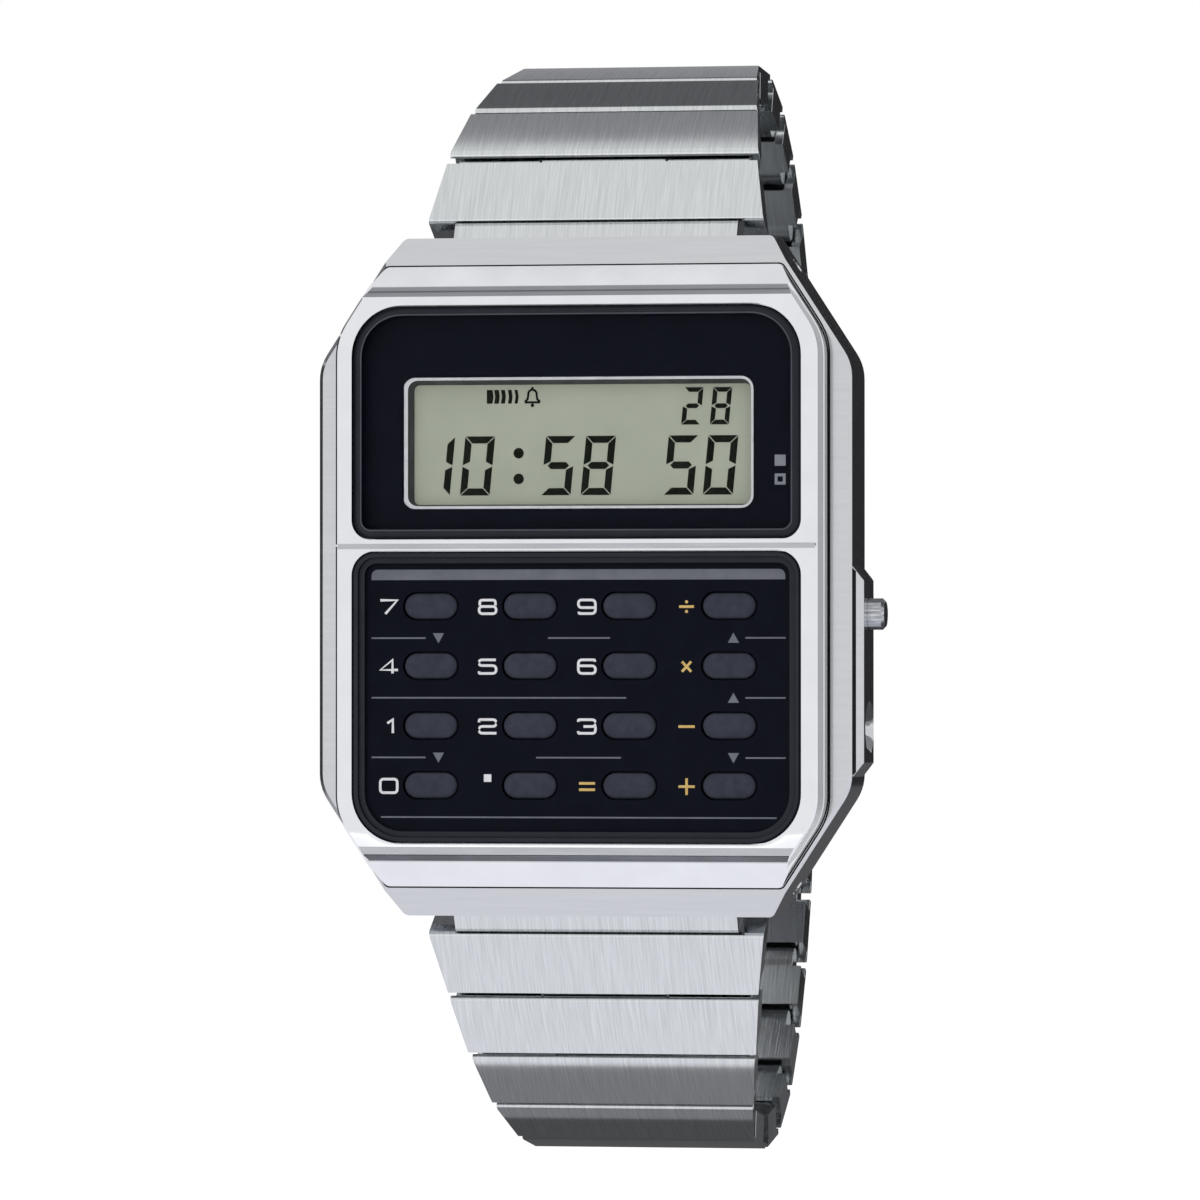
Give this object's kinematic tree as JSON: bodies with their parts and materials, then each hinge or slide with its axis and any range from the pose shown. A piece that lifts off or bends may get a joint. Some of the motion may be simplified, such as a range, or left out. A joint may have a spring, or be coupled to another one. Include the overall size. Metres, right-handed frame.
{
  "type": "calculator watch",
  "caption": "Digital wristwatch with a calculator keypad under the display and a tapering steel link bracelet closed by a folding clasp.",
  "frame": {"origin": "centre of the case back's outer face, where the watch meets the wrist", "axes": "+Z towards 12 o'clock, +X towards 3 o'clock and the side buttons, +Y from the dial to the wrist; the dial faces -Y"},
  "size_m": [0.0362, 0.0466, 0.0711],
  "materials": {
    "polished_steel": "polished",
    "brushed_steel": "brushed",
    "band_steel": "brushed",
    "steel_small": "satin",
    "lens": "clear, bevelled rim",
    "black_plastic": "matt",
    "black_gloss": "gloss",
    "silver_trim": "bright",
    "display": "grey-green display",
    "key_plastic": "matt",
    "rubber": "matt",
    "board": "solder mask",
    "brass": "satin"
  },
  "bodies": {
    "watch_head": {"case": "polished_steel", "bezel": "polished_steel", "lens": "lens", "dial_plate": "black_plastic", "display_frame": "silver_trim", "lcd_panel": "display", "keypad_plate": "black_gloss", "key_membrane": "rubber", "circuit_board": "board", "module_frame": "black_plastic", "battery": "steel_small", "buzzer": "brass", "case_gasket": "rubber", "case_back": "brushed_steel", "case_back_screws": "steel_small"},
    "key_7": {"key_7": "key_plastic"},
    "key_8": {"key_8": "key_plastic"},
    "key_9": {"key_9": "key_plastic"},
    "key_divide": {"key_divide": "key_plastic"},
    "key_4": {"key_4": "key_plastic"},
    "key_5": {"key_5": "key_plastic"},
    "key_6": {"key_6": "key_plastic"},
    "key_multiply": {"key_multiply": "key_plastic"},
    "key_1": {"key_1": "key_plastic"},
    "key_2": {"key_2": "key_plastic"},
    "key_3": {"key_3": "key_plastic"},
    "key_minus": {"key_minus": "key_plastic"},
    "key_0": {"key_0": "key_plastic"},
    "key_point": {"key_point": "key_plastic"},
    "key_equals": {"key_equals": "key_plastic"},
    "key_plus": {"key_plus": "key_plastic"},
    "mode_button": {"mode_button": "polished_steel"},
    "set_button": {"set_button": "polished_steel"},
    "upper_end_link": {"upper_end_link": "band_steel"},
    "upper_link_1": {"upper_link_1": "band_steel"},
    "upper_link_2": {"upper_link_2": "band_steel"},
    "upper_link_3": {"upper_link_3": "band_steel"},
    "upper_link_4": {"upper_link_4": "band_steel"},
    "upper_link_5": {"upper_link_5": "band_steel"},
    "upper_link_6": {"upper_link_6": "band_steel"},
    "upper_link_7": {"upper_link_7": "band_steel"},
    "upper_link_8": {"upper_link_8": "band_steel"},
    "upper_link_9": {"upper_link_9": "band_steel"},
    "lower_end_link": {"lower_end_link": "band_steel"},
    "lower_link_1": {"lower_link_1": "band_steel"},
    "lower_link_2": {"lower_link_2": "band_steel"},
    "lower_link_3": {"lower_link_3": "band_steel"},
    "lower_link_4": {"lower_link_4": "band_steel"},
    "lower_link_5": {"lower_link_5": "band_steel"},
    "lower_link_6": {"lower_link_6": "band_steel"},
    "lower_link_7": {"lower_link_7": "band_steel"},
    "lower_link_8": {"lower_link_8": "band_steel"},
    "lower_link_9": {"lower_link_9": "band_steel"},
    "lower_link_10": {"lower_link_10": "band_steel", "clasp_spring_bar": "steel_small"},
    "band_tail": {"band_tail": "band_steel"},
    "clasp_slider": {"clasp_slider": "band_steel"},
    "lock_flap": {"lock_flap": "band_steel"},
    "folding_blade": {"folding_blade": "band_steel"},
    "clasp_cover": {"clasp_cover": "band_steel"}
  },
  "joints": [
    {"name": "key_7_press", "type": "slide", "parent": "watch_head", "child": "key_7", "axis": [0, 1, 0], "range_m": [0, 0.00035], "stiffness_N_per_m": 300},
    {"name": "key_8_press", "type": "slide", "parent": "watch_head", "child": "key_8", "axis": [0, 1, 0], "range_m": [0, 0.00035], "stiffness_N_per_m": 300},
    {"name": "key_9_press", "type": "slide", "parent": "watch_head", "child": "key_9", "axis": [0, 1, 0], "range_m": [0, 0.00035], "stiffness_N_per_m": 300},
    {"name": "key_divide_press", "type": "slide", "parent": "watch_head", "child": "key_divide", "axis": [0, 1, 0], "range_m": [0, 0.00035], "stiffness_N_per_m": 300},
    {"name": "key_4_press", "type": "slide", "parent": "watch_head", "child": "key_4", "axis": [0, 1, 0], "range_m": [0, 0.00035], "stiffness_N_per_m": 300},
    {"name": "key_5_press", "type": "slide", "parent": "watch_head", "child": "key_5", "axis": [0, 1, 0], "range_m": [0, 0.00035], "stiffness_N_per_m": 300},
    {"name": "key_6_press", "type": "slide", "parent": "watch_head", "child": "key_6", "axis": [0, 1, 0], "range_m": [0, 0.00035], "stiffness_N_per_m": 300},
    {"name": "key_multiply_press", "type": "slide", "parent": "watch_head", "child": "key_multiply", "axis": [0, 1, 0], "range_m": [0, 0.00035], "stiffness_N_per_m": 300},
    {"name": "key_1_press", "type": "slide", "parent": "watch_head", "child": "key_1", "axis": [0, 1, 0], "range_m": [0, 0.00035], "stiffness_N_per_m": 300},
    {"name": "key_2_press", "type": "slide", "parent": "watch_head", "child": "key_2", "axis": [0, 1, 0], "range_m": [0, 0.00035], "stiffness_N_per_m": 300},
    {"name": "key_3_press", "type": "slide", "parent": "watch_head", "child": "key_3", "axis": [0, 1, 0], "range_m": [0, 0.00035], "stiffness_N_per_m": 300},
    {"name": "key_minus_press", "type": "slide", "parent": "watch_head", "child": "key_minus", "axis": [0, 1, 0], "range_m": [0, 0.00035], "stiffness_N_per_m": 300},
    {"name": "key_0_press", "type": "slide", "parent": "watch_head", "child": "key_0", "axis": [0, 1, 0], "range_m": [0, 0.00035], "stiffness_N_per_m": 300},
    {"name": "key_point_press", "type": "slide", "parent": "watch_head", "child": "key_point", "axis": [0, 1, 0], "range_m": [0, 0.00035], "stiffness_N_per_m": 300},
    {"name": "key_equals_press", "type": "slide", "parent": "watch_head", "child": "key_equals", "axis": [0, 1, 0], "range_m": [0, 0.00035], "stiffness_N_per_m": 300},
    {"name": "key_plus_press", "type": "slide", "parent": "watch_head", "child": "key_plus", "axis": [0, 1, 0], "range_m": [0, 0.00035], "stiffness_N_per_m": 300},
    {"name": "mode_button_press", "type": "slide", "parent": "watch_head", "child": "mode_button", "axis": [-1, 0, 0], "range_m": [0, 0.0007], "stiffness_N_per_m": 300},
    {"name": "set_button_press", "type": "slide", "parent": "watch_head", "child": "set_button", "axis": [-1, 0, 0], "range_m": [0, 0.0004], "stiffness_N_per_m": 300},
    {"name": "upper_end_link_hinge", "type": "hinge", "parent": "watch_head", "child": "upper_end_link", "pos_m": [0, -0.0014, 0.0198], "axis": [1, 0, 0], "range_deg": [0, 30]},
    {"name": "upper_link_1_hinge", "type": "hinge", "parent": "upper_end_link", "child": "upper_link_1", "pos_m": [0, 0.00185, 0.02617], "axis": [1, 0, 0], "range_deg": [0, 27]},
    {"name": "upper_link_2_hinge", "type": "hinge", "parent": "upper_link_1", "child": "upper_link_2", "pos_m": [0, 0.00563, 0.02913], "axis": [1, 0, 0], "range_deg": [0, 14]},
    {"name": "upper_link_3_hinge", "type": "hinge", "parent": "upper_link_2", "child": "upper_link_3", "pos_m": [0, 0.00994, 0.03123], "axis": [1, 0, 0], "range_deg": [0, 14]},
    {"name": "upper_link_4_hinge", "type": "hinge", "parent": "upper_link_3", "child": "upper_link_4", "pos_m": [0, 0.0146, 0.03239], "axis": [1, 0, 0], "range_deg": [0, 20]},
    {"name": "upper_link_5_hinge", "type": "hinge", "parent": "upper_link_4", "child": "upper_link_5", "pos_m": [0, 0.01939, 0.03206], "axis": [1, 0, 0], "range_deg": [0, 20]},
    {"name": "upper_link_6_hinge", "type": "hinge", "parent": "upper_link_5", "child": "upper_link_6", "pos_m": [0, 0.02384, 0.03026], "axis": [1, 0, 0], "range_deg": [0, 17]},
    {"name": "upper_link_7_hinge", "type": "hinge", "parent": "upper_link_6", "child": "upper_link_7", "pos_m": [0, 0.02767, 0.02737], "axis": [1, 0, 0], "range_deg": [0, 14]},
    {"name": "upper_link_8_hinge", "type": "hinge", "parent": "upper_link_7", "child": "upper_link_8", "pos_m": [0, 0.03082, 0.02375], "axis": [1, 0, 0], "range_deg": [0, 12]},
    {"name": "upper_link_9_hinge", "type": "hinge", "parent": "upper_link_8", "child": "upper_link_9", "pos_m": [0, 0.03329, 0.01963], "axis": [1, 0, 0], "range_deg": [0, 12]},
    {"name": "lower_end_link_hinge", "type": "hinge", "parent": "watch_head", "child": "lower_end_link", "pos_m": [0, -0.0014, -0.0198], "axis": [-1, 0, 0], "range_deg": [0, 32]},
    {"name": "lower_link_1_hinge", "type": "hinge", "parent": "lower_end_link", "child": "lower_link_1", "pos_m": [0, 0.00214, -0.02618], "axis": [-1, 0, 0], "range_deg": [0, 11]},
    {"name": "lower_link_2_hinge", "type": "hinge", "parent": "lower_link_1", "child": "lower_link_2", "pos_m": [0, 0.00509, -0.02997], "axis": [-1, 0, 0], "range_deg": [0, 12]},
    {"name": "lower_link_3_hinge", "type": "hinge", "parent": "lower_link_2", "child": "lower_link_3", "pos_m": [0, 0.00866, -0.03318], "axis": [-1, 0, 0], "range_deg": [0, 17]},
    {"name": "lower_link_4_hinge", "type": "hinge", "parent": "lower_link_3", "child": "lower_link_4", "pos_m": [0, 0.01294, -0.03536], "axis": [-1, 0, 0], "range_deg": [0, 20]},
    {"name": "lower_link_5_hinge", "type": "hinge", "parent": "lower_link_4", "child": "lower_link_5", "pos_m": [0, 0.01768, -0.03611], "axis": [-1, 0, 0], "range_deg": [0, 20]},
    {"name": "lower_link_6_hinge", "type": "hinge", "parent": "lower_link_5", "child": "lower_link_6", "pos_m": [0, 0.02242, -0.03536], "axis": [-1, 0, 0], "range_deg": [0, 22]},
    {"name": "lower_link_7_hinge", "type": "hinge", "parent": "lower_link_6", "child": "lower_link_7", "pos_m": [0, 0.02662, -0.03303], "axis": [-1, 0, 0], "range_deg": [0, 20]},
    {"name": "lower_link_8_hinge", "type": "hinge", "parent": "lower_link_7", "child": "lower_link_8", "pos_m": [0, 0.02989, -0.02952], "axis": [-1, 0, 0], "range_deg": [0, 14]},
    {"name": "lower_link_9_hinge", "type": "hinge", "parent": "lower_link_8", "child": "lower_link_9", "pos_m": [0, 0.03236, -0.02541], "axis": [-1, 0, 0], "range_deg": [0, 11]},
    {"name": "lower_link_10_hinge", "type": "hinge", "parent": "lower_link_9", "child": "lower_link_10", "pos_m": [0, 0.03416, -0.02096], "axis": [-1, 0, 0], "range_deg": [0, 11], "deforming": ["clasp_spring_bar"]},
    {"name": "band_tail_hinge", "type": "hinge", "parent": "upper_link_9", "child": "band_tail", "pos_m": [0, 0.03501, 0.01515], "axis": [1, 0, 0], "range_deg": [0, 23]},
    {"name": "clasp_slide", "type": "slide", "parent": "band_tail", "child": "clasp_slider", "axis": [0, 0.0073, -1], "range_m": [-0.0044, 0]},
    {"name": "lock_flap_hinge", "type": "hinge", "parent": "clasp_slider", "child": "lock_flap", "pos_m": [0, 0.03337, 0.00874], "axis": [-1, 0, 0], "range_deg": [0, 75]},
    {"name": "folding_blade_hinge", "type": "hinge", "parent": "clasp_slider", "child": "folding_blade", "pos_m": [0, 0.03707, 0.00117], "axis": [-1, 0, 0], "range_deg": [0, 150]},
    {"name": "clasp_cover_hinge", "type": "hinge", "parent": "folding_blade", "child": "clasp_cover", "pos_m": [0, 0.03697, 0.01417], "axis": [1, 0, 0], "range_deg": [0, 150]}
  ],
  "couplings": [
    {"joint": "folding_blade_hinge", "follows": "clasp_cover_hinge", "ratio": 1}
  ]
}
